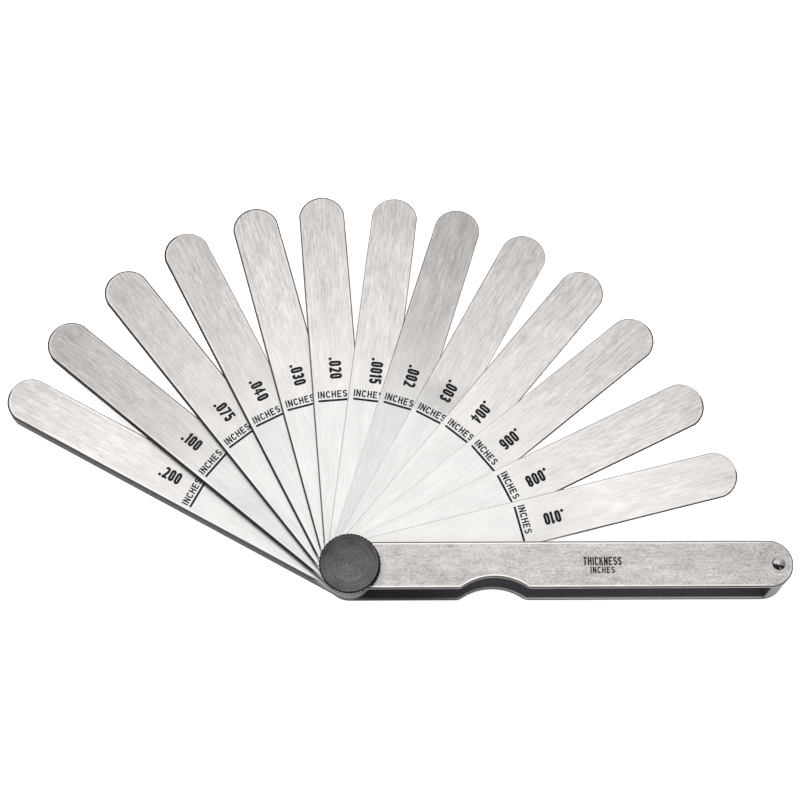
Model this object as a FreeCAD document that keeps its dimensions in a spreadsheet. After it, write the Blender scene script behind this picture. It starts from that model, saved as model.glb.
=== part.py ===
import FreeCAD, Part
import math
import os
import Sketcher

# Thirteen-leaf inch feeler gauge with a locking knob, its leaves fanned out.
#
# Frame: the origin is where the pivot axis meets the case's underside.
# +Z is up the pivot axis towards the knob, +X runs along the case towards
# its riveted end, and +Y is the side that the opened leaves fan over.
# Every leaf swings about the Z axis. Lengths are in millimetres unless said otherwise.

# Leaves from the bottom of the stack to the top: name, thickness in inches,
# swing from the case axis in degrees, reach of the tip from the pivot axis.
LEAVES = [
    ("leaf_200", 0.200, 150.99, 106.8),
    ("leaf_100", 0.100, 140.15, 106.8),
    ("leaf_075", 0.075, 127.99, 106.6),
    ("leaf_040", 0.040, 116.77, 107.0),
    ("leaf_030", 0.030, 105.10, 106.8),
    ("leaf_020", 0.020, 94.44, 106.8),
    ("leaf_0015", 0.0015, 82.85, 106.8),
    ("leaf_002", 0.002, 72.69, 107.0),
    ("leaf_003", 0.003, 61.37, 107.0),
    ("leaf_004", 0.004, 50.48, 106.8),
    ("leaf_006", 0.006, 39.37, 106.4),
    ("leaf_008", 0.008, 26.14, 106.8),
    ("leaf_010", 0.010, 14.07, 107.5),
]

# Driving dimensions. Each becomes a spreadsheet alias.
DIMS = {
    "inch_length": 25.4,
    # Case plates
    "plate_thickness": 1.07,
    "plate_half_width": 6.35,
    "plate_end_centre": 111.5,
    "plate_edge_round": 0.34,
    "notch_centre": 38.4,
    "notch_depth": 3.0,
    "notch_radius": 14.9,
    "notch_shoulder": 3.0,
    # Leaves
    "leaf_clearance": 0.010,
    "leaf_half_width": 6.35,
    "leaf_tip_radius": 6.45,
    "leaf_hole_radius": 3.225,
    # Pivot post
    "post_radius": 3.175,
    "post_recess": 0.30,
    "post_tenon_radius": 2.20,
    "post_stake": 0.45,
    "post_bore_radius": 2.11,
    "post_bore_bottom": 4.40,
    "post_edge_break": 0.20,
    "post_running_gap": 0.05,
    # End spacer and rivet
    "spacer_face": 111.8,
    "spacer_radius": 6.28,
    "rivet_centre": 113.9,
    "rivet_radius": 1.20,
    "rivet_stake": 0.50,
    "rivet_head_radius": 1.78,
    "rivet_head_height": 0.90,
    # Thrust washer
    "washer_thickness": 0.25,
    "washer_radius": 7.00,
    "washer_bore_radius": 2.18,
    # Knob and screw
    "knob_radius": 8.06,
    "knob_height": 2.23,
    "knob_shoulder_radius": 6.30,
    "knob_shoulder_height": 0.98,
    "knob_face_radius": 7.64,
    "knob_face_bevel": 0.26,
    "knob_under_bevel": 0.12,
    "knob_dish_radius": 7.05,
    "knob_dish_depth": 0.06,
    "knob_dimple_radius": 0.38,
    "knob_dimple_depth": 0.16,
    "knurl_count": 48,
    "knurl_depth": 0.21,
    "knurl_half_width": 0.45,
    "screw_radius": 2.05,
    "screw_length": 9.60,
    "screw_end_break": 0.35,
}
for name, inches, swing, reach in LEAVES:
    DIMS[name + "_thick"] = inches
    DIMS[name + "_swing"] = swing
    DIMS[name + "_reach"] = reach

doc = FreeCAD.newDocument("feeler_gauge")
sheet = doc.addObject("Spreadsheet::Sheet", "Sheet")
sheet.Label = "Sheet"
for row, (alias, number) in enumerate(DIMS.items(), start=1):
    sheet.set("A%d" % row, alias)
    sheet.set("B%d" % row, str(number))
    sheet.setAlias("B%d" % row, alias)
doc.recompute()


# ---- Sizes bound to the sheet ----

class Size:
    """A value that carries both its number and the sheet expression behind it."""

    def __init__(self, number, text):
        self.number = float(number)
        self.text = text

    def __add__(self, other):
        other = size(other)
        return Size(self.number + other.number, "(%s + %s)" % (self.text, other.text))

    def __sub__(self, other):
        other = size(other)
        return Size(self.number - other.number, "(%s - %s)" % (self.text, other.text))

    def __mul__(self, other):
        other = size(other)
        return Size(self.number * other.number, "(%s * %s)" % (self.text, other.text))

    def __neg__(self):
        return Size(-self.number, "(0 - %s)" % self.text)


def size(thing):
    """Turn an alias, a plain number or a Size into a Size."""
    if isinstance(thing, Size):
        return thing
    if isinstance(thing, str):
        return Size(DIMS[thing], "Sheet." + thing)
    return Size(thing, repr(float(thing)))


def bind(thing, prop, value):
    """Set a property and bind it to the sheet."""
    value = size(value)
    setattr(thing, prop, value.number)
    thing.setExpression(prop, value.text)


def place(thing, z, x=0, swing=0):
    """Put a piece on the case axis at (x, 0, z), turned about Z by swing degrees."""
    x, z, swing = size(x), size(z), size(swing)
    thing.Placement = FreeCAD.Placement(
        FreeCAD.Vector(x.number, 0, z.number),
        FreeCAD.Rotation(FreeCAD.Vector(0, 0, 1), swing.number))
    thing.setExpression("Placement.Base.x", x.text)
    thing.setExpression("Placement.Base.z", z.text)
    if swing.number:
        thing.setExpression("Placement.Rotation.Angle", swing.text)


# ---- Sketches ----
# In a constraint, geometry -1 is the horizontal axis (its point 1 is the origin)
# and -2 the vertical axis. Points 1, 2 and 3 are a curve's start, end and centre.

def new_body(label):
    body = doc.addObject("PartDesign::Body", label)
    body.Label = label
    return body


def origin_feature(body, role):
    for feature in body.Origin.OriginFeatures:
        if feature.Role == role:
            return feature
    raise RuntimeError("no origin feature " + role)


def new_sketch(body, name, role):
    sketch = body.newObject("Sketcher::SketchObject", name)
    sketch.AttachmentSupport = [(origin_feature(body, role), "")]
    sketch.MapMode = "FlatFace"
    return sketch


def add_line(sketch, start, end):
    sketch.addGeometry(Part.LineSegment(
        FreeCAD.Vector(*start, 0), FreeCAD.Vector(*end, 0)), False)


def add_arc(sketch, centre, radius, start, end):
    """Arc running anticlockwise from start to end."""
    first = math.atan2(start[1] - centre[1], start[0] - centre[0])
    last = math.atan2(end[1] - centre[1], end[0] - centre[0])
    if last < first:
        last += 2 * math.pi
    full = Part.Circle(FreeCAD.Vector(*centre, 0), FreeCAD.Vector(0, 0, 1), radius)
    sketch.addGeometry(Part.ArcOfCircle(full, first, last), False)


def constrain(sketch, *args):
    sketch.addConstraint(Sketcher.Constraint(*args))


def drive(sketch, kind, *args):
    """Add a dimensional constraint whose last argument is a size, bound to the sheet."""
    length = size(args[-1])
    index = sketch.addConstraint(Sketcher.Constraint(kind, *args[:-1], length.number))
    sketch.setExpression("Constraints[%d]" % index, length.text)


def locate(sketch, geometry, position, x, y):
    """Pin a point of the sketch at (x, y) from the sketch origin."""
    for kind, axis, value in (("DistanceX", -2, size(x)), ("DistanceY", -1, size(y))):
        if abs(value.number) < 1e-12:
            constrain(sketch, "PointOnObject", geometry, position, axis)
        elif value.number > 0:
            drive(sketch, kind, -1, 1, geometry, position, value)
        else:
            drive(sketch, kind, geometry, position, -1, 1, -value)


def join(sketch, first, second):
    """Join the end of one curve to the start of another."""
    constrain(sketch, "Coincident", first, 2, second, 1)


def join_loop(sketch, count):
    for i in range(count):
        join(sketch, i, (i + 1) % count)


def make_half_circle(sketch, arc):
    """Hold both ends of an arc directly above and below its centre."""
    constrain(sketch, "Vertical", arc, 1, arc, 3)
    constrain(sketch, "Vertical", arc, 2, arc, 3)


def polygon(sketch, points):
    """Closed outline of straight lines, each corner pinned by sheet sizes."""
    points = [(size(x), size(y)) for x, y in points]
    corners = [(x.number, y.number) for x, y in points]
    for i, corner in enumerate(corners):
        add_line(sketch, corner, corners[(i + 1) % len(corners)])
    join_loop(sketch, len(corners))
    for i, (x, y) in enumerate(points):
        locate(sketch, i, 1, x, y)


def circle(sketch, x, radius):
    """Circle centred on the sketch's horizontal axis."""
    x, radius = size(x), size(radius)
    index = sketch.addGeometry(Part.Circle(
        FreeCAD.Vector(x.number, 0, 0), FreeCAD.Vector(0, 0, 1), radius.number), False)
    locate(sketch, index, 3, x, 0)
    drive(sketch, "Radius", index, radius)


# ---- Features ----

def pad(body, name, sketch, length):
    feature = body.newObject("PartDesign::Pad", name)
    feature.Profile = sketch
    bind(feature, "Length", length)
    doc.recompute()


def cut_through(body, name, sketch):
    """Pocket upwards through everything; it must remove material."""
    before = body.Shape.Volume
    feature = body.newObject("PartDesign::Pocket", name)
    feature.Profile = sketch
    feature.Type = "ThroughAll"
    feature.Reversed = True
    doc.recompute()
    if not body.Shape.Volume < before - 1e-4:
        raise RuntimeError(name + " cut nothing")
    return feature


def revolve(body, name, sketch):
    feature = body.newObject("PartDesign::Revolution", name)
    feature.Profile = sketch
    feature.ReferenceAxis = (sketch, ["V_Axis"])
    feature.Angle = 360
    doc.recompute()


def dress_edges(body, kind, name, base, edges, prop, length):
    """Add a fillet or chamfer; prop is the property that holds its size."""
    feature = body.newObject("PartDesign::" + kind, name)
    feature.Base = (base, edges)
    bind(feature, prop, length)
    doc.recompute()
    return feature


# ---- Heights up the stack ----

plate_t = size("plate_thickness")
stack_z = {}
height = plate_t + "leaf_clearance"
for name, *_ in LEAVES:
    stack_z[name] = height
    height = height + size(name + "_thick") * "inch_length" + "leaf_clearance"
upper_z = height
case_top = upper_z + plate_t
knob_z = case_top + "washer_thickness"


# ---- Case plates ----

def plate_outline(sketch):
    """A long round-ended strip with a thumb notch in its -Y edge."""
    half_width = size("plate_half_width")
    half = half_width.number
    far = DIMS["plate_end_centre"]
    middle = DIMS["notch_centre"]
    notch_r = DIMS["notch_radius"]
    shoulder_r = DIMS["notch_shoulder"]
    # The notch's circle is centred outside the strip, and each shoulder's
    # circle inside it, so that both meet the straight edge smoothly.
    notch_drop = half_width - "notch_depth" + "notch_radius"
    notch_y = -notch_drop.number
    shoulder_y = shoulder_r - half
    spread = math.sqrt((notch_r + shoulder_r) ** 2 - (shoulder_y - notch_y) ** 2)
    left, right = middle - spread, middle + spread
    share = notch_r / (notch_r + shoulder_r)
    touch_y = notch_y + (shoulder_y - notch_y) * share
    touch_left = (middle - spread * share, touch_y)
    touch_right = (middle + spread * share, touch_y)

    # 0 pivot end, 1 straight to the notch, 2 left shoulder, 3 notch,
    # 4 right shoulder, 5 straight to the far end, 6 far end, 7 the +Y edge.
    add_arc(sketch, (0, 0), half, (0, half), (0, -half))
    add_line(sketch, (0, -half), (left, -half))
    add_arc(sketch, (left, shoulder_y), shoulder_r, (left, -half), touch_left)
    add_arc(sketch, (middle, notch_y), notch_r, touch_right, touch_left)
    add_arc(sketch, (right, shoulder_y), shoulder_r, touch_right, (right, -half))
    add_line(sketch, (right, -half), (far, -half))
    add_arc(sketch, (far, 0), half, (far, -half), (far, half))
    add_line(sketch, (far, half), (0, half))

    constrain(sketch, "Coincident", 0, 3, -1, 1)
    drive(sketch, "Radius", 0, half_width)
    make_half_circle(sketch, 0)
    join(sketch, 0, 1)
    constrain(sketch, "Horizontal", 1)
    constrain(sketch, "Tangent", 1, 2, 2, 1)
    drive(sketch, "Radius", 2, "notch_shoulder")
    constrain(sketch, "Tangent", 2, 2, 3, 2)
    drive(sketch, "Radius", 3, "notch_radius")
    locate(sketch, 3, 3, "notch_centre", -notch_drop)
    constrain(sketch, "Tangent", 3, 1, 4, 1)
    drive(sketch, "Radius", 4, "notch_shoulder")
    constrain(sketch, "Tangent", 4, 2, 5, 1)
    constrain(sketch, "Horizontal", 5)
    locate(sketch, 6, 3, "plate_end_centre", 0)
    make_half_circle(sketch, 6)
    join(sketch, 5, 6)
    drive(sketch, "Radius", 6, half_width)
    join(sketch, 6, 7)
    join(sketch, 7, 0)


def rim_edges(shape, z):
    """Edges of the outer outline that lie in the plane at height z."""
    found = set()
    for face in shape.Faces:
        box = face.BoundBox
        if abs(box.ZMin - z) < 1e-6 and abs(box.ZMax - z) < 1e-6 and box.XLength > 50:
            for edge in face.OuterWire.Edges:
                for i, other in enumerate(shape.Edges, start=1):
                    if other.isSame(edge):
                        found.add("Edge%d" % i)
    return sorted(found)


def hole_edges(shape, x, radius):
    """Underside edge of the hole centred at (x, 0)."""
    found = []
    for i, edge in enumerate(shape.Edges, start=1):
        box = edge.BoundBox
        if (abs(box.ZMin) < 1e-6 and abs(box.ZMax) < 1e-6
                and abs(box.XMax - x - radius) < 1e-3 and box.XLength < 3 * radius):
            found.append("Edge%d" % i)
    return found


def drilled_plate(label, post_hole):
    body = new_body(label)
    outline = new_sketch(body, label + "_outline", "XY_Plane")
    plate_outline(outline)
    pad(body, label + "_pad", outline, plate_t)
    holes = new_sketch(body, label + "_holes", "XY_Plane")
    circle(holes, 0, post_hole)
    circle(holes, "rivet_centre", "rivet_radius")
    return body, cut_through(body, label + "_cut", holes)


def round_rims(body, name, base):
    edges = rim_edges(base.Shape, 0.0) + rim_edges(base.Shape, plate_t.number)
    dress_edges(body, "Fillet", name, base, edges, "Radius", "plate_edge_round")


def lower_case_plate():
    """Both holes are countersunk beneath, so that post and rivet finish flush."""
    body, base = drilled_plate("lower_case_plate", "post_tenon_radius")
    for name, x, radius, stake in (
            ("lower_post_sink", 0, "post_tenon_radius", "post_stake"),
            ("lower_rivet_sink", DIMS["rivet_centre"], "rivet_radius", "rivet_stake")):
        edges = hole_edges(base.Shape, x, DIMS[radius])
        base = dress_edges(body, "Chamfer", name, base, edges, "Size", stake)
    round_rims(body, "lower_rim_round", base)
    place(body, z=0)
    return body


def upper_case_plate():
    body, base = drilled_plate("upper_case_plate", size("post_radius") + "post_running_gap")
    round_rims(body, "upper_rim_round", base)
    place(body, z=upper_z)
    return body


# ---- Riveted end ----

def end_spacer():
    """A D-shaped block that holds the plates apart at the far end."""
    body = new_body("end_spacer")
    outline = new_sketch(body, "end_spacer_outline", "XY_Plane")
    radius = DIMS["spacer_radius"]
    face = size("spacer_face") - "plate_end_centre"
    half_chord = math.sqrt(radius ** 2 - face.number ** 2)
    below, above = (face.number, -half_chord), (face.number, half_chord)
    add_arc(outline, (0, 0), radius, below, above)
    add_line(outline, above, below)
    constrain(outline, "Coincident", 0, 3, -1, 1)
    drive(outline, "Radius", 0, "spacer_radius")
    join_loop(outline, 2)
    constrain(outline, "Vertical", 1)
    drive(outline, "DistanceX", -1, 1, 1, 1, face)
    pad(body, "end_spacer_pad", outline, upper_z - plate_t)
    bore = new_sketch(body, "end_spacer_bore", "XY_Plane")
    circle(bore, size("rivet_centre") - "plate_end_centre", "rivet_radius")
    cut_through(body, "end_spacer_cut", bore)
    place(body, z=plate_t, x="plate_end_centre")
    return body


def end_rivet():
    """Flush tail, plain shank, domed head on the upper plate."""
    body = new_body("end_rivet")
    profile = new_sketch(body, "end_rivet_profile", "XZ_Plane")
    shank = size("rivet_radius")
    stake = size("rivet_stake")
    head_r = size("rivet_head_radius")
    head_h = DIMS["rivet_head_height"]
    crown = case_top + "rivet_head_height"
    corners = [(shank + stake, size(0)), (shank, stake), (shank, case_top), (head_r, case_top)]
    points = [(0, 0)] + [(x.number, y.number) for x, y in corners]
    for start, end in zip(points, points[1:]):
        add_line(profile, start, end)
    dome_r = (head_r.number ** 2 + head_h ** 2) / (2 * head_h)
    add_arc(profile, (0, crown.number - dome_r), dome_r, points[-1], (0, crown.number))
    add_line(profile, (0, crown.number), (0, 0))
    join_loop(profile, 6)
    constrain(profile, "Coincident", 0, 1, -1, 1)
    for i, (x, y) in enumerate(corners, start=1):
        locate(profile, i, 1, x, y)
    constrain(profile, "PointOnObject", 4, 3, -2)
    locate(profile, 5, 1, 0, crown)
    revolve(body, "end_rivet_turn", profile)
    place(body, z=0, x="rivet_centre")
    return body


# ---- Pivot ----

def pivot_post():
    """A barrel with a blind threaded bore, shouldered on the lower plate and staked
    flush beneath it. Its top stays below the upper plate's outer face, so that the
    knob clamps the stack and not the post. The thread is left plain."""
    body = new_body("pivot_post")
    profile = new_sketch(body, "pivot_post_profile", "XZ_Plane")
    top = case_top - "post_recess"
    tenon = size("post_tenon_radius")
    stake = size("post_stake")
    barrel = size("post_radius")
    edge_break = size("post_edge_break")
    bore = size("post_bore_radius")
    bore_bottom = size("post_bore_bottom")
    polygon(profile, [
        (0, 0), (tenon + stake, 0), (tenon, stake), (tenon, plate_t), (barrel, plate_t),
        (barrel, top - edge_break), (barrel - edge_break, top),
        (bore, top), (bore, bore_bottom), (0, bore_bottom),
    ])
    revolve(body, "pivot_post_turn", profile)
    place(body, z=0)
    return body


def washer_disc(name, radius):
    disc = doc.addObject("Part::Cylinder", name)
    bind(disc, "Radius", radius)
    bind(disc, "Height", "washer_thickness")
    return disc


def thrust_washer():
    """A thin flat ring between the knob and the upper plate."""
    blank = washer_disc("washer_blank", "washer_radius")
    bore = washer_disc("washer_bore", "washer_bore_radius")
    washer = doc.addObject("Part::Cut", "thrust_washer")
    washer.Label = "thrust_washer"
    washer.Base = blank
    washer.Tool = bore
    place(washer, z=case_top)
    return washer


def lock_screw():
    """A knurled disc head with a shoulder under it, on a threaded shank.
    The thread is a plain cylinder just under its major diameter."""
    body = new_body("lock_screw")
    profile = new_sketch(body, "lock_screw_profile", "XZ_Plane")
    rim = size("knob_radius")
    top = size("knob_height")
    under_bevel = size("knob_under_bevel")
    shoulder_r = size("knob_shoulder_radius")
    shoulder_h = size("knob_shoulder_height")
    dish_r = size("knob_dish_radius")
    dish_z = top - "knob_dish_depth"
    thread = size("screw_radius")
    end_break = size("screw_end_break")
    length = size("screw_length")
    polygon(profile, [
        (0, -length), (thread - end_break, -length), (thread, end_break - length),
        (thread, 0), (shoulder_r, 0), (shoulder_r, shoulder_h),
        (rim - under_bevel, shoulder_h), (rim, shoulder_h + under_bevel),
        (rim, top - "knob_face_bevel"), ("knob_face_radius", top),
        (dish_r, top), (dish_r - "knob_dish_depth", dish_z),
        ("knob_dimple_radius", dish_z), (0, dish_z - "knob_dimple_depth"),
    ])
    revolve(body, "lock_screw_turn", profile)

    # One V groove in the rim, repeated around the knob.
    before = body.Shape.Volume
    tooth = new_sketch(body, "lock_screw_groove", "XY_Plane")
    depth = size("knurl_depth")
    # The V is drawn to twice the depth, past the rim, so it is twice as wide there.
    flare = size("knurl_half_width") * 2
    polygon(tooth, [(rim - depth, 0), (rim + depth, -flare), (rim + depth, flare)])
    groove = cut_through(body, "lock_screw_knurl", tooth)
    one_groove = before - body.Shape.Volume
    knurl = body.newObject("PartDesign::PolarPattern", "lock_screw_knurl_ring")
    knurl.Originals = [groove]
    knurl.Axis = (origin_feature(body, "Z_Axis"), [""])
    knurl.Angle = 360
    knurl.Occurrences = DIMS["knurl_count"]
    knurl.setExpression("Occurrences", "Sheet.knurl_count")
    body.Tip = knurl
    doc.recompute()
    if not before - body.Shape.Volume > 0.9 * DIMS["knurl_count"] * one_groove:
        raise RuntimeError("the knurl ring is incomplete")
    place(body, z=knob_z)
    return body


# ---- Leaves ----

def leaf(name):
    """A flat strip with a round tail, a pivot hole and a round tip whose arc is
    a little wider than the strip, which leaves slight corners."""
    body = new_body(name)
    outline = new_sketch(body, name + "_outline", "XY_Plane")
    half = DIMS["leaf_half_width"]
    tip_r = DIMS["leaf_tip_radius"]
    centre = size(name + "_reach") - "leaf_tip_radius"
    corner_x = centre.number + math.sqrt(tip_r ** 2 - half ** 2)
    # 0 tail, 1 the -Y edge, 2 tip, 3 the +Y edge.
    add_arc(outline, (0, 0), half, (0, half), (0, -half))
    add_line(outline, (0, -half), (corner_x, -half))
    add_arc(outline, (centre.number, 0), tip_r, (corner_x, -half), (corner_x, half))
    add_line(outline, (corner_x, half), (0, half))
    constrain(outline, "Coincident", 0, 3, -1, 1)
    drive(outline, "Radius", 0, "leaf_half_width")
    make_half_circle(outline, 0)
    join_loop(outline, 4)
    constrain(outline, "Horizontal", 1)
    locate(outline, 2, 3, centre, 0)
    drive(outline, "Radius", 2, "leaf_tip_radius")
    constrain(outline, "Horizontal", 3)
    pad(body, name + "_pad", outline, size(name + "_thick") * "inch_length")
    hole = new_sketch(body, name + "_hole", "XY_Plane")
    circle(hole, 0, "leaf_hole_radius")
    cut_through(body, name + "_cut", hole)
    place(body, z=stack_z[name], swing=name + "_swing")
    return body


parts = [
    lower_case_plate(), upper_case_plate(), end_spacer(), end_rivet(),
    pivot_post(), thrust_washer(), lock_screw(),
]
parts += [leaf(name) for name, *_ in LEAVES]
doc.recompute()

# Every object has to have computed, and every piece has to be one valid solid.
for thing in doc.Objects:
    state = [str(flag) for flag in thing.State]
    if "Invalid" in state or "Error" in state:
        raise RuntimeError("%s did not compute: %s" % (thing.Name, state))
    if thing.TypeId == "Sketcher::SketchObject" and thing.solve() != 0:
        raise RuntimeError("%s did not solve" % thing.Name)
for part in parts:
    shape = part.Shape
    if shape.isNull() or not shape.isValid() or len(shape.Solids) != 1:
        raise RuntimeError("%s is not one valid solid" % part.Label)

os.makedirs("parts", exist_ok=True)
for part in parts:
    part.Shape.exportStep(os.path.join("parts", part.Label + ".step"))
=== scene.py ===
"""A pocket feeler gauge, fanned open and lying flat on a pale floor.

The pivot stands on the z axis at the origin. The case runs from it along +x to
its rivet, and the thirteen leaves fan out from the pivot, each at an angle
turned from +x towards +y. Front is -y. Materials work in millimetres.
"""

import math
from collections import namedtuple

import bpy
import bmesh
from mathutils import Matrix, Vector, geometry


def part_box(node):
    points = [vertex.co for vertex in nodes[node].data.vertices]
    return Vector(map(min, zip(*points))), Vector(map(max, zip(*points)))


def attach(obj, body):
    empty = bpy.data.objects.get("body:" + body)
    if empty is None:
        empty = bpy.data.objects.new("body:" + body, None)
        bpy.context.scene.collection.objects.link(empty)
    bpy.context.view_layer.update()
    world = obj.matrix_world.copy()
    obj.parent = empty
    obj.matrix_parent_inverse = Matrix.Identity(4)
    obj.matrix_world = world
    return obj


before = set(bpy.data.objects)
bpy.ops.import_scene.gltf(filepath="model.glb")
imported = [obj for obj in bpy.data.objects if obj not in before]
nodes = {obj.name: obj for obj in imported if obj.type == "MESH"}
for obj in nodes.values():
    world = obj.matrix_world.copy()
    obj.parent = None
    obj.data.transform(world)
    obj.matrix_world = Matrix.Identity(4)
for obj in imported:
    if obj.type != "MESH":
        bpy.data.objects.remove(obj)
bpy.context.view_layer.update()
scene = bpy.context.scene

MM = 0.001

# Shared dimensions, in mm
HALF_WIDTH = 6.35         # of the case and of every leaf
TIP_RADIUS = 6.45         # of a leaf's round end
TIP_START = 1.13          # the round end starts this far beyond its centre
CASE_LENGTH = 111.5       # between the centres of the case's two round ends
RIVET_X = 113.9
NOTCH_X = 38.4            # centre of the thumb notch
NOTCH_FORWARD = 18.25     # from the case axis to that centre, towards the front
NOTCH_RADIUS = 14.9

# Leaves, bottom of the stack first.
# digits: the marked value; angle: from the case axis, in degrees;
# tone: painted reflection level of the steel on the outer part, differing from leaf to leaf;
# change: where that part starts and is full.
# left, right: the painted shade line (the leaf's shaded side and its shadow) along the edge on
# that side, seen from above looking
# from pivot to tip: (width in mm, strength near the pivot, strength near the tip).
Leaf = namedtuple("Leaf", "digits angle tone change left right")
LEAVES = [
    Leaf("200", 150.99, 1.16, (54, 80), (0.50, 0.88, 0.88), (0.24, 0.30, 0.74)),
    Leaf("100", 140.15, 0.82, (46, 68), (0.40, 0.97, 0.95), (0.28, 0.30, 0.80)),
    Leaf("075", 127.99, 0.92, (44, 54), (0.44, 0.96, 0.93), (0.34, 0.30, 0.88)),
    Leaf("040", 116.77, 0.90, (52, 59), (0.50, 0.97, 0.92), (0.24, 0.20, 0.66)),
    Leaf("030", 105.10, 1.03, (62, 80), (0.44, 0.95, 0.86), (0.34, 0.10, 0.92)),
    Leaf("020", 94.44, 1.00, (50, 80), (0.38, 0.86, 0.84), (0.30, 0.10, 0.90)),
    Leaf("0015", 82.85, 0.99, (52, 80), (0.24, 0.40, 0.62), (0.26, 0.10, 0.74)),
    Leaf("002", 72.69, 0.75, (38, 74), (0.24, 0.15, 0.84), (0.22, 0.10, 0.66)),
    Leaf("003", 61.37, 0.92, (47, 52), (0.22, 0.25, 0.74), (0.20, 0.10, 0.58)),
    Leaf("004", 50.48, 1.00, (50, 80), (0.22, 0.30, 0.70), (0.28, 0.10, 0.86)),
    Leaf("006", 39.37, 0.99, (50, 80), (0.22, 0.16, 0.62), (0.38, 0.10, 0.94)),
    Leaf("008", 26.14, 1.08, (54, 84), (0.22, 0.22, 0.58), (0.42, 0.10, 0.96)),
    Leaf("010", 14.07, 1.22, (56, 80), (0.22, 0.30, 0.60), (0.38, 0.10, 0.94)),
]

# Metal colours, as multipliers of a grey level
STEEL = (1.0, 0.982, 0.970)
WARM = (1.0, 0.950, 0.922)
CASE_TINT = (1.0, 0.950, 0.928)


# --------------------------------------------------------------- node helpers
class Value:
    """A node output. Arithmetic on it adds Math nodes to its tree."""

    def __init__(self, net, socket):
        self.net = net
        self.socket = socket

    def __add__(self, other):
        return self.net.math("ADD", self, other)

    def __radd__(self, other):
        return self.net.math("ADD", other, self)

    def __sub__(self, other):
        return self.net.math("SUBTRACT", self, other)

    def __rsub__(self, other):
        return self.net.math("SUBTRACT", other, self)

    def __mul__(self, other):
        return self.net.math("MULTIPLY", self, other)

    def __rmul__(self, other):
        return self.net.math("MULTIPLY", other, self)

    def max(self, other):
        return self.net.math("MAXIMUM", self, other)

    def min(self, other):
        return self.net.math("MINIMUM", self, other)

    def above(self, limit):
        return self.net.math("GREATER_THAN", self, limit)

    def abs(self):
        return self.net.math("ABSOLUTE", self)

    def sqrt(self):
        return self.net.math("SQRT", self)

    def swing(self, gain):
        """A 0 to 1 noise, centred on zero and scaled."""
        return (self - 0.5) * gain

    def fade(self, other, amount):
        """This value where amount is 0, the other where it is 1."""
        return self * (1.0 - amount) + other * amount

    def ramp(self, over, to=(0.0, 1.0), smooth=True):
        """Goes between the two values of `to` as this one crosses `over`."""
        inputs = dict(enumerate((self, *over, *to)))
        kind = "SMOOTHSTEP" if smooth else "LINEAR"
        return self.net.make("ShaderNodeMapRange", inputs, clamp=True, interpolation_type=kind)

    def window(self, rise, fall):
        """1 between two smooth ramps, 0 outside them."""
        return self.ramp(over=rise) * self.ramp(over=fall)

    def tint(self, colour):
        """A grey value times a colour."""
        inputs = {0: colour, "Scale": self}
        return self.net.make("ShaderNodeVectorMath", inputs, operation="SCALE")


class Net:
    """Builds the node tree of a material or a world."""

    def __init__(self, owner):
        self.owner = owner
        owner.use_nodes = True
        self.tree = owner.node_tree
        self.tree.nodes.clear()

    def node(self, kind, inputs, **settings):
        node = self.tree.nodes.new(kind)
        for name, setting in settings.items():
            setattr(node, name, setting)
        for key, value in inputs.items():
            if isinstance(value, Value):
                self.tree.links.new(value.socket, node.inputs[key])
            else:
                node.inputs[key].default_value = value
        return node

    def make(self, kind, inputs, output=0, **settings):
        """Adds a node and returns one of its outputs."""
        return Value(self, self.node(kind, inputs, **settings).outputs[output])

    def math(self, operation, first, second=0.0):
        return self.make("ShaderNodeMath", {0: first, 1: second, 2: 0.0}, operation=operation)

    def length(self, x, y):
        return (x * x + y * y).sqrt()

    def noise(self, x, y, z, detail, rough):
        point = self.make("ShaderNodeCombineXYZ", {0: x, 1: y, 2: z})
        inputs = {"Vector": point, "Scale": 1.0, "Detail": detail, "Roughness": rough}
        return self.make("ShaderNodeTexNoise", inputs, output="Fac")

    def mix(self, amount, first, second):
        inputs = {0: amount, 6: first, 7: second}
        return self.make("ShaderNodeMix", inputs, output=2, data_type="RGBA")

    def split(self, vector):
        node = self.node("ShaderNodeSeparateXYZ", {0: vector})
        return [Value(self, socket) for socket in node.outputs]

    def object_point(self):
        return self.make("ShaderNodeTexCoord", {}, output="Object")

    def millimetres(self):
        """The CAD node's own coordinates, in millimetres."""
        inputs = {0: self.object_point(), "Scale": 1000.0}
        return self.make("ShaderNodeVectorMath", inputs, operation="SCALE")

    def turned(self, vector, degrees):
        inputs = {"Vector": vector, "Angle": math.radians(degrees)}
        return self.make("ShaderNodeVectorRotate", inputs, rotation_type="Z_AXIS")

    def normal_z(self):
        return self.split(self.make("ShaderNodeNewGeometry", {}, output="True Normal"))[2]

    def flatness(self):
        """1 on level faces, 0 on upright ones."""
        return self.normal_z().abs()

    def direction(self, x, y):
        """A direction in the object's frame, as a world tangent at any pose."""
        return self.make("ShaderNodeVectorTransform", {0: (x, y, 0.0)}, vector_type="VECTOR",
                         convert_from="OBJECT", convert_to="WORLD")

    def camera_ray(self):
        return self.make("ShaderNodeLightPath", {}, output="Is Camera Ray")

    def bump(self, height, strength, distance):
        inputs = {"Height": height, "Strength": strength, "Distance": distance}
        return self.make("ShaderNodeBump", inputs, output="Normal")

    def emission(self, colour, strength):
        return self.make("ShaderNodeEmission", {"Color": colour, "Strength": strength})

    def output(self, shader, kind="ShaderNodeOutputMaterial"):
        self.node(kind, {"Surface": shader})
        return self.owner

    def surface(self, colour, rough, metal, normal=None, aniso=0.0, tangent=None, spec=0.5):
        inputs = {"Base Color": colour, "Roughness": rough, "Metallic": metal,
                  "Anisotropic": aniso, "Specular IOR Level": spec}
        if normal is not None:
            inputs["Normal"] = normal
        if tangent is not None:
            inputs["Tangent"] = tangent
        return self.output(self.make("ShaderNodeBsdfPrincipled", inputs))


def material_net(name):
    return Net(bpy.data.materials.new(name))


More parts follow.
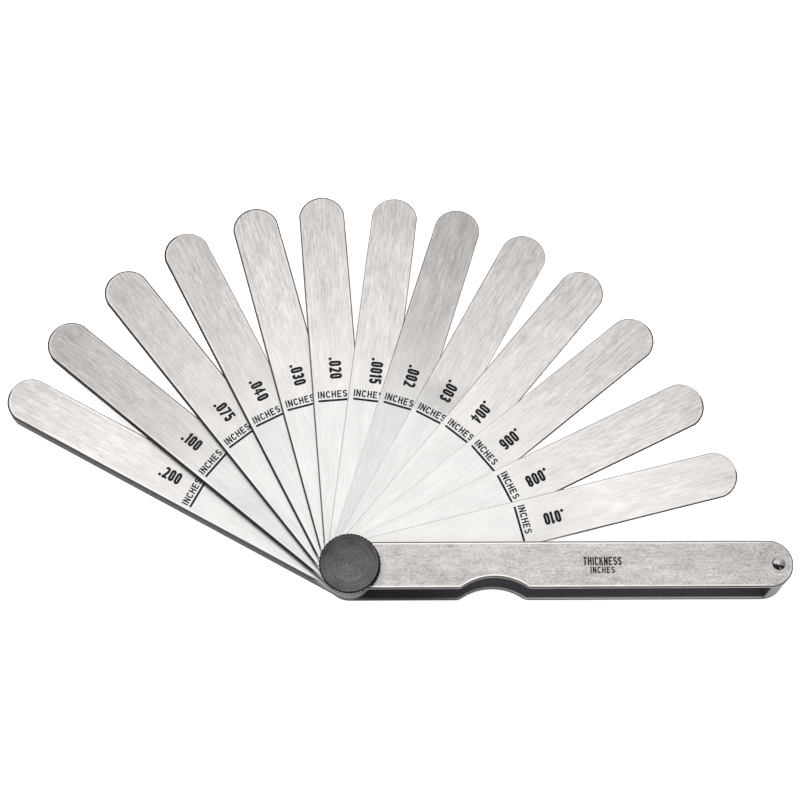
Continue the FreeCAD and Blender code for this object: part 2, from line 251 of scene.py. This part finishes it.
# ------------------------------------------------------------------ materials
# Noises of a leaf face: frequency along and across per mm, offset, detail, roughness
LEAF_NOISES = [
    (0.16, 1.9, 0.0, 3.0, 0.6),      # hair: long hair lines
    (0.34, 3.5, 3.1, 3.0, 0.7),      # fine: short scratches
    (0.55, 2.3, 7.7, 3.0, 0.7),      # spot: specks
    (0.045, 2.8, 5.3, 3.0, 0.65),    # long: the longest lines
    (0.07, 0.22, 9.4, 2.0, 0.5),     # slow: broad mottle
    (0.16, 0.34, 12.9, 3.0, 0.6),    # patch: smaller mottle
]
LEAF_GRAIN = {"010": 0.55, "200": 0.85}  # strength of the grain where it isn't 1
THICK_LEAF = 1.5                         # mm; leaves above this count as thick
# the bottom leaf's lighter sides are a painted reflection of the floor; the upper leaves' darker
# sides are painted shade between stacked leaves
FLOOR_REFLECTING_SIDE_LEVEL = 0.062                # brightness of the sheared sides
SHADED_SIDE_LEVEL = 0.010


def leaf_tone(leaf, noises, u, reach):
    """Grey level of the ground face, with painted reflection: brighter near the pivot and darker
    towards the tip; u is the distance from the pivot.
    """
    hair, fine, spot, long, slow, patch = noises
    grain = hair.swing(gain=0.50) + (fine.swing(gain=0.90) + spot.swing(gain=0.42))
    grain = grain + long.swing(gain=0.50)
    outer = u.ramp(over=(46.0, 88.0))
    # the grain shows more towards the tip
    strength = LEAF_GRAIN.get(leaf.digits, 1.0)
    grain = grain * (0.46 * strength + outer * (0.70 * strength))
    mottle = slow.swing(gain=0.24) + patch.swing(gain=0.30) * (0.3 + outer)
    # a wavering border between the brighter painted reflection near the pivot and the outer tone
    pivot_highlight_tone = min(1.0, 1.0 - (1.0 - leaf.tone) * 0.35)
    wander = u + patch.swing(gain=14.0)
    level = wander.ramp(over=leaf.change, to=(pivot_highlight_tone, leaf.tone))
    # painted shade: darker towards the tip
    level = level * u.ramp(over=(50.0, reach), to=(1.0, 0.80), smooth=False)
    if leaf.digits == "003":
        # a darker band across the leaf
        mark = wander.window(rise=(48.0, 51.0), fall=(60.0, 54.0))
        level = level * (1.0 - mark * 0.16)
    return level * (1.0 + (grain + mottle))


def leaf_edges(leaf, net, level, u, v, reach, thick):
    """Adds painted shade lines along the edges, for the shaded sides and their shadows, and a
    painted highlight just inside them.
    """
    # distance inside the outline
    half = v.abs()
    tip_centre = reach - TIP_RADIUS
    from_tip_centre = net.length(u - tip_centre, v)
    is_tip = u.above(tip_centre + TIP_START)
    inside = (HALF_WIDTH - half).fade(TIP_RADIUS - from_tip_centre, is_tip)

    left_width, left_near, left_far = leaf.left
    right_width, right_near, right_far = leaf.right
    left = v.ramp(over=(-1.0, 1.0))
    right = 1.0 - left

    def line(width, end, near, far):
        soft = 0.09
        drawn = inside.ramp(over=(width - soft, width + soft), to=(1.0, 0.0))
        return drawn * u.ramp(over=(34.0, end), to=(near, far))

    # painted shade: the dark line along each edge stands in for the leaf's shaded side and its
    # shadow on the leaf below
    left_painted_shade = line(left_width, 74.0, left_near, left_far)
    right_painted_shade = line(right_width, 66.0, right_near, right_far)
    dark = (left_painted_shade * left + right_painted_shade * right) * u.ramp(over=(4.0, 8.0))
    level = level * (1.0 - dark)

    # painted highlight: a bright line just inside the painted shade line, along the broken edge
    past = inside - (left * left_width + right * right_width)
    painted_shine = past.window(rise=(0.0, 0.14), fall=(0.50, 0.26))
    if thick:
        left_painted_shine, right_painted_shine = 0.26, 0.10
    elif leaf.digits == "040":
        left_painted_shine, right_painted_shine = 0.20, 0.08
    else:
        left_painted_shine, right_painted_shine = 0.06, 0.08
    outward = u.ramp(over=(30.0, 62.0), to=(0.30 if thick else 0.10, 1.0))
    return level + painted_shine * (outward * (left * left_painted_shine + right * right_painted_shine))


def leaf_side(net, shifted, u, v, z, z_range, root, side_level):
    """Sheared sides: dark, partly dull steel and partly painted shade, with fine cross marks
    leaning along the cut and painted shade at their top and bottom.
    """
    rise = z.ramp(over=z_range, smooth=False)
    lean = u * 2.2 + z * 1.3
    cross = net.noise(lean, v * 0.2, z * 0.18, detail=2.0, rough=0.6)
    band = net.noise(shifted * 0.07, v * 0.1, z * 1.6, detail=2.0, rough=0.5)
    # painted shade: each side is darker at its top and bottom edges
    painted_light_band = rise.window(rise=(0.02, 0.22), fall=(0.98, 0.70))
    side = (0.12 + painted_light_band * 1.15) * (0.2 + (cross * 1.0 + band * 0.6))
    side = side * side_level
    # round the pivot the stacked ends are lighter, with a painted highlight near the top of each
    # leaf and painted shade where the leaves meet
    painted_lip_glint = rise.window(rise=(0.50, 0.74), fall=(0.96, 0.86))
    painted_gap_shade = rise.window(rise=(0.02, 0.20), fall=(0.99, 0.92))
    stack = (0.03 + band * 0.13 + painted_lip_glint * 0.19) * (0.12 + painted_gap_shade * 0.88)
    return side.fade(stack, root).tint((1.0, 0.945, 0.905))


def leaf_material(leaf, seed, side_level):
    """Ground spring steel: grain along the leaf with painted reflection and painted edge shade;
    dark sheared sides, partly dull steel and partly painted shade.
    """
    name = "leaf_" + leaf.digits
    angle = math.radians(leaf.angle)
    axis = Vector((math.cos(angle), math.sin(angle), 0.0))
    reach = max(axis.dot(v.co) for v in nodes[name].data.vertices) / MM
    low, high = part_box(name)
    z_range = (low.z / MM, high.z / MM)
    thick = z_range[1] - z_range[0] > THICK_LEAF

    net = material_net("steel_" + name)
    # u runs from the pivot to the tip, v across towards the left edge
    u, v, z = net.split(net.turned(net.millimetres(), -leaf.angle))
    shifted = u + seed * 37.0
    noises = [net.noise(shifted * along, v * across, seed + offset, detail, rough)
              for along, across, offset, detail, rough in LEAF_NOISES]
    hair, fine = noises[:2]

    level = leaf_tone(leaf, noises, u, reach)
    level = leaf_edges(leaf, net, level, u, v, reach, thick)
    warm = u.ramp(over=(44.0, 72.0))
    face = net.mix(warm, (level * 0.75).tint(STEEL), (level * 0.775).tint(WARM))
    root = u.ramp(over=(9.0, 2.0))
    side = leaf_side(net, shifted, u, v, z, z_range, root, side_level)
    flat = net.flatness().ramp(over=(0.45, 0.75))
    return net.surface(
        colour=net.mix(flat, side, face),
        rough=flat * -0.16 + (0.48 + fine.swing(gain=0.16)),
        metal=(flat * 0.82).max(root * 0.6),
        normal=net.bump(hair * 0.5 + fine * 0.5, strength=0.12, distance=0.00003),
        aniso=flat * 0.45,
        tangent=net.direction(math.cos(angle), math.sin(angle)),
        spec=0.04 + flat * 0.2)


# Noises of a case face: frequency along x and y per mm, z, detail, roughness
CASE_NOISES = [
    (1.25, 1.9, 0.0, 3.0, 0.7),      # speck: bead-like speckle
    (4.5, 5.5, 6.0, 3.0, 0.6),       # grit: the finest speckle
    (0.35, 0.6, 3.0, 3.0, 0.6),      # blotch: small clouds
    (0.13, 2.4, 2.0, 3.0, 0.6),      # streak: long faint lines
    (0.07, 0.16, 8.0, 2.0, 0.5),     # slow: broad clouds
]

# What differs between the plates. painted_rounding_shade: painted shade on the rounding and its
# streaks;
# wall_x, wall: span in x and levels of the upright wall, painted light on the upper plate and
# painted shade on the lower; wall_streak: its streaks; outward: range of normal z from the inner
# face to the outer;
# under_knob: whether the knob shades the plate.
UPPER_PLATE = dict(painted_rounding_shade=(0.060, 0.06), wall_x=(10.0, 75.0), wall=(0.19, 0.34),
                   wall_streak=0.14, outward=(-0.75, -0.35), under_knob=True)
LOWER_PLATE = dict(painted_rounding_shade=(0.012, 0.016), wall_x=(5.0, 60.0), wall=(0.006, 0.016),
                   wall_streak=0.014, outward=(0.75, 0.35), under_knob=False)


def case_material(name, painted_rounding_shade, wall_x, wall, wall_streak, outward, under_knob):
    """Satin plate: bead-like speckle with long faint streaks, a painted highlight
    along the border, painted shade on the rounding and wall, and an inner face in painted shade."""
    net = material_net(name)
    x, y, _ = net.split(net.millimetres())
    # distance inside the outline, with the thumb notch
    beyond = x - x.max(0.0).min(CASE_LENGTH)
    from_axis = net.length(beyond, y)
    from_notch = net.length(x - NOTCH_X, y + NOTCH_FORWARD)
    inside = (HALF_WIDTH - from_axis).min(from_notch - NOTCH_RADIUS)

    speck, grit, blotch, streak, slow = [
        net.noise(x * along, y * across, z, detail, rough)
        for along, across, z, detail, rough in CASE_NOISES]
    # near the riveted end the polishing marks swirl around the rivet
    from_rivet = net.length(x - RIVET_X, y)
    swirl = x.ramp(over=(100.0, 110.0))
    curved = net.noise(from_rivet * 1.7, y * 0.18, 5.0, detail=3.0, rough=0.6)
    lines = streak.fade(curved, swirl)
    level = 1.0 + (speck.swing(gain=1.75) + (lines.swing(gain=0.66) + (
        blotch.swing(gain=0.78) + slow.swing(gain=0.62))))
    level = (level + grit.swing(gain=0.95)).max(0.35)
    face = level * x.ramp(over=(8.0, 62.0), to=(0.525, 0.585))
    if under_knob:
        # the knob keeps the light off the plate close round it
        from_knob = net.length(x - 0.12, y - 0.02)
        face = face * from_knob.ramp(over=(8.02, 8.34), to=(0.06, 1.0))

    # outer face: a painted highlight along the border, then painted shade on the rounding, then
    # the wall at its painted level
    flat = net.flatness()
    painted_edge_highlight = inside.window(rise=(0.84, 0.62), fall=(0.34, 0.46))
    painted_edge_highlight = painted_edge_highlight * x.ramp(over=(106.0, 114.0), to=(1.0, 0.15))
    rounding = inside.ramp(over=(0.42, 0.30)).max(flat.ramp(over=(0.90, 0.70)))
    upright = flat.ramp(over=(0.42, 0.12))
    # painted shade on the rounding; the wall's level is painted light and shade
    rounding_shade_base, rounding_shade_streak = painted_rounding_shade
    rounding_shade_level = rounding_shade_base + streak * rounding_shade_streak
    wall_level = x.ramp(over=wall_x, to=wall) + streak * wall_streak
    rounding_shade_level = rounding_shade_level.fade(wall_level, upright)
    tone = face * (1.0 - painted_edge_highlight) + painted_edge_highlight * (0.84 + blotch * 0.2)
    outer = tone.fade(rounding_shade_level, rounding).tint(CASE_TINT)

    # inner face: painted shade, with a painted highlight strip along its border where the plate's
    # edge catches the light
    is_outer = net.normal_z().ramp(over=outward)
    inner_edge_highlight = inside.window(rise=(0.62, 0.52), fall=(0.15, 0.25))
    inner_edge_highlight = inner_edge_highlight * x.ramp(over=(14.0, 66.0), to=(0.12, 1.0))
    painted_inner_shade = (0.085 + speck * 0.085) * x.ramp(over=(12.0, 44.0), to=(0.60, 1.60))
    inner = net.mix(inner_edge_highlight, painted_inner_shade.tint((1.0, 0.955, 1.10)), (painted_inner_shade + 0.86).tint(CASE_TINT))

    lowered = rounding * is_outer
    return net.surface(
        colour=net.mix(is_outer, inner, outer),
        rough=0.34 + speck.swing(gain=0.30),
        metal=0.85 - lowered * 0.72,
        normal=net.bump(speck * 0.7 + lines * 0.3, strength=0.16, distance=0.00004),
        aniso=0.2,
        tangent=net.direction(1, 0),
        spec=0.25 - lowered * 0.23)


def rivet_material():
    """Bright dome with painted light: a painted highlight on the back left, painted shade on the
    side turned to the front.
    """
    net = material_net("rivet_polished")
    x, y, z = net.split(net.millimetres())
    grit = net.noise(x * 2.6, y * 2.6, z * 2.6, detail=4.0, rough=0.65)
    x = x - RIVET_X
    # painted light: a soft diagonal from the lit shoulder at the back left to the shaded one
    slope = x * -0.42 + y * 0.55
    painted_light = slope.ramp(over=(-0.55, 0.75), to=(0.34, 0.80))
    radius = net.length(x, y)
    # painted shade on the front and part of the brim
    front = (y + x * 0.25).ramp(over=(-0.30, -0.62)) * radius.ramp(over=(0.5, 0.8))
    brim = radius.ramp(over=(1.42, 1.66)) * (x * 0.9 + y).ramp(over=(1.5, 0.4))
    # two small painted highlights: a wide one at the front, a deep one at the left
    glint_x = x - 0.25
    glint_y = y + 1.35
    glint = (glint_x * glint_x * 0.4 + glint_y * glint_y).sqrt().ramp(over=(0.24, 0.10))
    star_x = x + 1.10
    star_y = y - 0.30
    star = (star_x * star_x + star_y * star_y * 0.3).sqrt().ramp(over=(0.38, 0.16))
    level = painted_light * (0.86 + grit * 0.28)
    level = level * (1.0 - front.max(brim) * 0.93)
    level = level.max((glint * 0.55).max(star * 1.0))
    return net.surface(
        colour=level.tint((1.0, 0.955, 0.94)),
        rough=0.24 + grit.swing(gain=0.16),
        metal=0.8,
        normal=net.bump(grit, strength=0.10, distance=0.00003),
        spec=0.2)


def turned_material(name, level, tint, rough, centre_x=0.0, period=0.35):
    """Turned steel: fine rings about a vertical axis, and lines up the wall."""
    net = material_net(name)
    x, y, z = net.split(net.millimetres())
    radius = net.length(x - centre_x, y - 0.0)
    rings = net.noise(radius * (1 / period), z * (1 / period), 0.0, detail=3.0, rough=0.6)
    grit = net.noise(x * 3.0, y * 3.0, z * 3.0, detail=4.0, rough=0.65)
    uneven = 1.0 + (rings.swing(gain=0.30) + grit.swing(gain=0.34))
    return net.surface(
        colour=(uneven * level).tint(tint),
        rough=rough + grit.swing(gain=0.16),
        metal=1.0,
        normal=net.bump(rings + grit, strength=0.12, distance=0.00003))


def knob_material():
    """Black oxide over a faced disc: rings on the face, near black knurl."""
    net = material_net("knob_black_oxide_turned")
    x, y, z = net.split(net.millimetres())
    radius = net.length(x, y)
    rings = net.noise(radius * 1.9, 0.0, 0.0, detail=3.0, rough=0.7)
    fine_rings = net.noise(radius * 3.6, x * 0.16, y * 0.16, detail=3.0, rough=0.7)
    grit = net.noise(x * 1.9, y * 1.9, z, detail=4.0, rough=0.75)
    cloud = net.noise(x * 0.24, y * 0.24, 4.0, detail=2.0, rough=0.5)
    level = 1.0 + (rings.swing(gain=0.95) + (fine_rings.swing(gain=1.45) + (
        grit.swing(gain=1.55) + cloud.swing(gain=1.0))))
    # painted reflection: darker towards the back and towards the bevel
    level = level * (x * 0.35 - y).ramp(over=(-7.0, 5.0), to=(0.70, 1.12))
    level = level * radius.ramp(over=(3.0, 7.4), to=(1.04, 0.80))
    # painted highlight: a lighter ring where the face meets the bevel, towards the front right
    painted_light_band = radius.window(rise=(7.34, 7.52), fall=(7.70, 7.62))
    painted_light_band = painted_light_band * (x - y).ramp(over=(-1.0, 5.0))
    level = (level * (1.0 + painted_light_band * 0.55)).max(0.25)
    flat = net.flatness().ramp(over=(0.75, 0.95)) * radius.ramp(over=(7.68, 7.62))
    face = (level * 0.135).tint((1.0, 0.965, 1.01))
    # the crests of the knurl are a little lighter
    crest = radius.ramp(over=(7.93, 8.03))
    side = (0.004 + grit * 0.010 + crest * 0.012).tint((1.0, 0.95, 1.05))
    return net.surface(
        colour=net.mix(flat, side, face),
        rough=0.62 - flat * 0.24 + grit.swing(gain=0.2),
        metal=flat * 0.9,
        normal=net.bump(rings * 0.7 + grit * 0.3, strength=0.18, distance=0.00004),
        aniso=flat * 0.6,
        tangent=net.make("ShaderNodeTangent", {}, direction_type="RADIAL", axis="Z"),
        spec=0.08)


def ink_material():
    """Etched and blacked marking: slightly uneven, matt."""
    net = material_net("mark_ink")
    x, y, z = net.split(net.millimetres())
    grit = net.noise(x * 4.0, y * 4.0, z, detail=3.0, rough=0.6)
    colour = (0.006 + grit * 0.012).tint((1.0, 1.0, 1.08))
    return net.surface(colour, rough=0.62, metal=0.0, spec=0.12)


def set_material(name, material):
    for slot in nodes[name].material_slots:
        slot.material = material


for i, leaf in enumerate(LEAVES):
    # painted light: only the bottom leaf's sides get the lighter, floor-reflecting level
    level = FLOOR_REFLECTING_SIDE_LEVEL if i == 0 else SHADED_SIDE_LEVEL
    set_material("leaf_" + leaf.digits, leaf_material(leaf, i * 1.7 + 0.4, level))
set_material("upper_case_plate", case_material("case_upper_satin", **UPPER_PLATE))
set_material("lower_case_plate", case_material("case_lower_satin", **LOWER_PLATE))
set_material("end_spacer", turned_material("spacer_turned", level=0.20, tint=WARM, rough=0.42,
                                           centre_x=CASE_LENGTH, period=0.5))
set_material("end_rivet", rivet_material())
set_material("pivot_post", turned_material("post_turned", level=0.50, tint=STEEL, rough=0.34))
set_material("thrust_washer", turned_material("washer_plain", level=0.12, tint=STEEL, rough=0.44))
set_material("lock_screw", knob_material())

# The imported meshes repeat their corner points along every crease, so weld
# them. The four lowest leaves get broken edges.
for obj in nodes.values():
    weld = obj.modifiers.new("weld", "WELD")
    weld.merge_threshold = 1e-7
for leaf in LEAVES[:4]:
    edge = nodes["leaf_" + leaf.digits].modifiers.new("broken_edge", "BEVEL")
    edge.width = 0.00016
    edge.segments = 2
    edge.limit_method = "ANGLE"
    edge.angle_limit = math.radians(50)


# ----------------------------------------------------------------- letterforms
def bow(centre_x, centre_y, radius_x, radius_y, start, stop, steps=10):
    """Points on an elliptical arc, between two angles in degrees."""
    points = []
    for k in range(steps + 1):
        t = math.radians(start + (stop - start) * k / steps)
        points.append((centre_x + radius_x * math.cos(t), centre_y + radius_y * math.sin(t)))
    return points


def band_of(points, width, closed=False):
    """Outlines that follow a line at half the width on either side."""
    count = len(points)
    left, right = [], []
    for i, (x, y) in enumerate(points):
        steps = []
        if closed or i > 0:
            before_x, before_y = points[i - 1]
            steps.append((x - before_x, y - before_y))
        if closed or i < count - 1:
            after_x, after_y = points[(i + 1) % count]
            steps.append((after_x - x, after_y - y))
        directions = []
        for dx, dy in steps:
            size = math.hypot(dx, dy)
            directions.append((dx / size, dy / size))
        mean_x = sum(d[0] for d in directions)
        mean_y = sum(d[1] for d in directions)
        size = math.hypot(mean_x, mean_y)
        mean_x, mean_y = mean_x / size, mean_y / size
        # a mitred corner reaches further out, up to a limit
        grow = 1.0 / max(0.6, mean_x * directions[0][0] + mean_y * directions[0][1])
        half = width / 2 * grow
        left.append((x - mean_y * half, y + mean_x * half))
        right.append((x + mean_y * half, y - mean_x * half))
    if not closed:
        return [left + right[::-1]]
    # a closed band is cut into two outlines without a hole
    middle = count // 2
    return [left[:middle + 1] + right[:middle + 1][::-1],
            left[middle:] + left[:1] + right[:1] + right[middle:][::-1]]


def slab(x0, y0, x1, y1):
    return [[(x0, y0), (x1, y0), (x1, y1), (x0, y1)]]


def glyph(char, width, stroke):
    """A plain condensed letterform one unit high: its width and its outlines,
    which may overlap."""
    s = stroke
    if char == ".":
        return s * 1.10, [bow(s * 0.55, s * 0.62, s * 0.64, s * 0.64, 0, 330, 11)]
    if char == "1":
        width = width * 0.62
    elif char == "I":
        width = s
    # centre lines of the outermost strokes
    left, right, bottom, top = s / 2, width - s / 2, s / 2, 1 - s / 2
    middle = width / 2
    waist = 0.52
    round_x = (width - s) / 2
    round_y = round_x * 1.12

    def oval(low, high, radius_x, radius_y, start=0, stop=360):
        """A round top and a round bottom joined by straight sides."""
        return (bow(middle, high - radius_y, radius_x, radius_y, start, 180)
                + bow(middle, low + radius_y, radius_x, radius_y, 180, stop))

    def bowl(low, high, start, stop):
        return bow(middle, (low + high) / 2, round_x, (high - low) / 2, start, stop, 14)

    stem = slab(0, 0, s, 1)
    right_stem = slab(width - s, 0, width, 1)
    out = []
    if char == "0":
        out += band_of(oval(bottom, top, round_x, round_y), s, closed=True)
    elif char == "1":
        out += right_stem
        out += [[(width - s + 0.01, 1.0), (0.0, 0.84), (0.0, 0.68), (width - s + 0.01, 0.80)]]
    elif char == "2":
        out += band_of(bow(middle, top - round_y, round_x, round_y, 172, 0)
                       + [(right, 0.66), (right - 0.02, 0.56), (left + 0.03, bottom)], s)
        out += slab(0, 0, width, s * 0.95)
    elif char == "3":
        join = [(middle - 0.08, waist)]
        out += band_of(bowl(waist, top, 168, -90) + join, s)
        out += band_of(join + bowl(bottom, waist, 90, -168), s)
    elif char == "4":
        thin = s * 0.78
        width = width * 1.16
        post = width - thin * 1.35
        out += slab(post - thin / 2, 0, post + thin / 2, 1)
        out += band_of([(post, 0.96), (thin * 0.42, 0.30)], thin * 0.86)
        out += slab(0, 0.20, width, 0.20 + thin * 0.95)
    elif char == "5":
        out += slab(0.015, 1 - s * 0.92, width - 0.02, 1)
        out += slab(0.015, 0.46, 0.015 + s * 0.92, 1)
        out += band_of([(left + 0.01, 0.50)] + bowl(bottom, 0.60, 112, -168), s)
    elif char == "6":
        high = 0.60
        out += band_of(oval(bottom, high, round_x, round_x), s, closed=True)
        out += band_of([(left, high - round_x - 0.06)]
                       + bow(middle, top - round_y, round_x, round_y, 180, 12), s)
    elif char == "7":
        out += slab(0, 1 - s * 0.95, width, 1)
        out += [[(width - s, 1 - s), (width, 1 - s * 0.5), (width, 0.86),
                 (width * 0.50, 0.0), (width * 0.50 - s * 1.05, 0.0)]]
    elif char == "8":
        upper_x = round_x * 0.94
        upper_y = min(upper_x, (top - waist) / 2)
        lower_y = min(round_x, (waist - bottom) / 2)
        out += band_of(oval(waist, top, upper_x, upper_y), s, closed=True)
        out += band_of(oval(bottom, waist, round_x, lower_y), s, closed=True)
    elif char == "C":
        out += band_of(oval(bottom, top, round_x, round_y, start=12, stop=348), s)
    elif char == "E":
        out += stem + slab(0, 0, width * 0.94, s) + slab(0, 1 - s, width * 0.94, 1)
        out += slab(0, waist - s / 2, width * 0.82, waist + s / 2)
    elif char == "H":
        out += stem + right_stem + slab(0, waist - s / 2, width, waist + s / 2)
    elif char == "I":
        out += stem
    elif char == "K":
        out += stem
        out += [[(s * 0.8, 0.34), (s * 0.8, 0.54), (width - s * 1.0, 1.0), (width, 1.0)]]
        out += [[(s * 1.1, 0.50), (width - s * 1.0, 0.0), (width + 0.02, 0.0), (s * 1.9, 0.62)]]
    elif char == "N":
        out += stem + right_stem
        out += [[(0.0, 1.0), (s * 0.90, 1.0), (width, 0.0), (width - s * 0.90, 0.0)]]
    elif char == "S":
        out += band_of(bowl(waist, top, 14, 270)[:-1] + bowl(bottom, waist, 90, -166), s)
    elif char == "T":
        out += slab(0, 1 - s, width, 1) + slab(middle - s / 2, 0, middle + s / 2, 1)
    return width, out


# ---------------------------------------------------------------------- marks
LIFT = 0.0005 * MM           # gap under the ink
INK_THICKNESS = 0.004 * MM
ink = ink_material()


def twice_area(loop):
    return sum(loop[i - 1][0] * p[1] - p[0] * loop[i - 1][1] for i, p in enumerate(loop))


def mesh_from(bm, name):
    mesh = bpy.data.meshes.new(name)
    bm.to_mesh(mesh)
    bm.free()
    return mesh


def lettering(name, text, cap, wide, stroke, gap):
    """Closed thin solids in the shape of the text: x runs along the line from
    0, y is up from the baseline. wide, stroke and gap are parts of the capital
    height cap."""
    bm = bmesh.new()
    pen = 0.0
    for char in text:
        width, loops = glyph(char, wide, stroke)
        points, faces = [], []
        for loop in loops:
            if twice_area(loop) < 0:
                loop = loop[::-1]
            faces.append(list(range(len(points), len(points) + len(loop))))
            points += [Vector(point) for point in loop]
        # merge the overlapping outlines into one set of triangles
        flat, _, triangles, _, _, source = geometry.delaunay_2d_cdt(
            points, [], faces, 1, 1e-5, True)
        triangles = [t for t, origin in zip(triangles, source) if origin]
        low, high = {}, {}
        for i in {i for t in triangles for i in t}:
            x, y = (flat[i].x + pen) * cap, flat[i].y * cap
            low[i] = bm.verts.new((x, y, 0.0))
            high[i] = bm.verts.new((x, y, INK_THICKNESS))
        sides = {(t[k - 1], t[k]) for t in triangles for k in range(len(t))}
        for t in triangles:
            bm.faces.new([high[i] for i in t])
            bm.faces.new([low[i] for i in reversed(t)])
        # a side with no twin lies on the outline and gets a wall
        for p, q in sides:
            if (q, p) not in sides:
                bm.faces.new((low[p], low[q], high[q], high[p]))
        pen += width + gap
    return mesh_from(bm, name)


def bar(name, length, width):
    """A thin printed line with rounded ends, lying along x from 0."""
    bm = bmesh.new()
    radius = width / 2
    outline = []
    for centre_x, start in ((length - radius, -90), (radius, 90)):
        for k in range(7):
            t = math.radians(start + k * 30)
            outline.append((centre_x + radius * math.cos(t), radius * math.sin(t)))
    low = [bm.verts.new((x, y, 0.0)) for x, y in outline]
    high = [bm.verts.new((x, y, INK_THICKNESS)) for x, y in outline]
    bm.faces.new(low[::-1])
    bm.faces.new(high)
    for k in range(len(low)):
        j = (k + 1) % len(low)
        bm.faces.new((low[k], low[j], high[j], high[k]))
    return mesh_from(bm, name)


def place_mark(mesh, x, y, z, degrees, body):
    """Writes the place into the mesh, so that the object stays at the origin."""
    turn = Matrix.Rotation(math.radians(degrees), 4, "Z")
    mesh.transform(Matrix.Translation((x, y, z)) @ turn)
    mesh.materials.append(ink)
    obj = bpy.data.objects.new(mesh.name, mesh)
    scene.collection.objects.link(obj)
    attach(obj, body)


def mark_leaf(leaf):
    node = "leaf_" + leaf.digits
    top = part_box(node)[1].z + LIFT
    angle = math.radians(leaf.angle)
    outward = Vector((math.cos(angle), math.sin(angle)))
    leftward = Vector((-math.sin(angle), math.cos(angle)))

    def put(mesh, along, across, turn):
        start = outward * (along * MM) + leftward * (across * MM)
        place_mark(mesh, start.x, start.y, top, leaf.angle + turn, node + "_blade")

    # thickness, read from the tip towards the pivot
    number = lettering(node + "_number", "." + leaf.digits, cap=3.38 * MM,
                       wide=0.455, stroke=0.205, gap=0.080)
    put(number, along=59.10, across=1.25, turn=180.0)
    # the unit across the leaf, over a line
    word = lettering(node + "_word", "INCHES", cap=2.0 * MM, wide=0.62, stroke=0.190, gap=0.145)
    put(word, along=47.50, across=4.90, turn=-90.0)
    line = bar(node + "_line", length=9.9 * MM, width=0.60 * MM)
    put(line, along=46.75, across=4.95, turn=-90.0)


def mark_case():
    """Two centred lines of text on the upper plate."""
    centre_x = 67.05 * MM
    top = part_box("upper_case_plate")[1].z + LIFT

    def put(mesh, baseline):
        width = max(v.co.x for v in mesh.vertices)
        place_mark(mesh, centre_x - width / 2, baseline, top, 0.0, "case")

    put(lettering("case_word", "THICKNESS", cap=2.28 * MM, wide=0.455, stroke=0.172, gap=0.085),
        baseline=-0.28 * MM)
    put(lettering("case_unit", "INCHES", cap=1.80 * MM, wide=0.54, stroke=0.182, gap=0.145),
        baseline=-2.42 * MM)


for leaf in LEAVES:
    mark_leaf(leaf)
mark_case()


# ---------------------------------------------------------------------- stage
def stage_plane(name, size, location, material):
    mesh = bpy.data.meshes.new(name)
    h = size / 2
    mesh.from_pydata([(-h, -h, 0), (h, -h, 0), (h, h, 0), (-h, h, 0)], [], [(0, 1, 2, 3)])
    mesh.materials.append(material)
    obj = bpy.data.objects.new(name, mesh)
    obj.location = location
    scene.collection.objects.link(obj)


def floor_material():
    """White, and slightly self-lit so that it stays pale; more so to the camera."""
    net = material_net("floor_white")
    diffuse = net.make("ShaderNodeBsdfDiffuse", {"Color": (0.86, 0.86, 0.86, 1)})
    glow = net.emission((1, 1, 1, 1), strength=0.42 + net.camera_ray() * 0.22)
    return net.output(net.make("ShaderNodeAddShader", {0: diffuse, 1: glow}))


def softbox_material():
    """Overhead panel, brightest near its centre."""
    centre_x, centre_y = -0.01, 0.0
    net = material_net("softbox_glow")
    x, y, _ = net.split(net.object_point())
    radius = net.length(x - centre_x, y - centre_y)
    power = radius.ramp(over=(0.08, 0.42), to=(1.64, 0.64))
    return net.output(net.emission((1.0, 0.995, 0.985, 1), strength=power))


def area_light(name, location, size, power):
    """A round light aimed at the gauge, unseen in reflections."""
    light = bpy.data.lights.new(name, "AREA")
    light.shape = "DISK"
    light.size = size
    light.energy = power
    obj = bpy.data.objects.new(name, light)
    obj.location = location
    aim = Vector((0.0, 0.02, 0.0)) - Vector(location)
    obj.rotation_euler = aim.to_track_quat("-Z", "Y").to_euler()
    obj.visible_glossy = False
    scene.collection.objects.link(obj)


def studio_world():
    """Brighter overhead than at the horizon; plain white to the camera."""
    net = Net(bpy.data.worlds.new("studio"))
    sky = net.make("ShaderNodeTexCoord", {}, output="Generated")
    height = net.split(sky)[2]
    light = height.ramp(over=(0.0, 0.9), to=(0.28, 0.75), smooth=False)
    strength = net.make("ShaderNodeMix", {0: net.camera_ray(), 2: light, 3: 1.0},
                        data_type="FLOAT")
    background = net.make("ShaderNodeBackground", {"Color": (1, 1, 1, 1), "Strength": strength})
    return net.output(background, kind="ShaderNodeOutputWorld")


def add_camera():
    """Looks down on the gauge, tilted a little from the front."""
    data = bpy.data.cameras.new("camera")
    data.sensor_width = 36.0
    data.lens = 92.72
    data.shift_x = -0.00010
    data.shift_y = -0.00030
    data.clip_start = 0.01
    data.clip_end = 50.0
    camera = bpy.data.objects.new("camera", data)
    camera.matrix_world = Matrix((
        (0.99988, 0.00256, -0.01553, 0.00504485),
        (-0.00725, 0.95076, -0.30984, -0.12733124),
        (0.01397, 0.30992, 0.95066, 0.54670580),
        (0, 0, 0, 1)))
    scene.collection.objects.link(camera)
    scene.camera = camera


stage_plane("floor", size=6.0, location=(0, 0, -0.00002), material=floor_material())
stage_plane("softbox", size=2.0, location=(0.0, 0.235, 1.0), material=softbox_material())
area_light("key", location=(-0.50, 0.50, 0.80), size=0.16, power=9.0)
area_light("fill_front", location=(0.30, -1.0, 0.45), size=0.50, power=4.0)
scene.world = studio_world()
scene.view_settings.view_transform = "Standard"
scene.view_settings.look = "None"
scene.view_settings.exposure = 0.0
scene.view_settings.gamma = 1.0
add_camera()
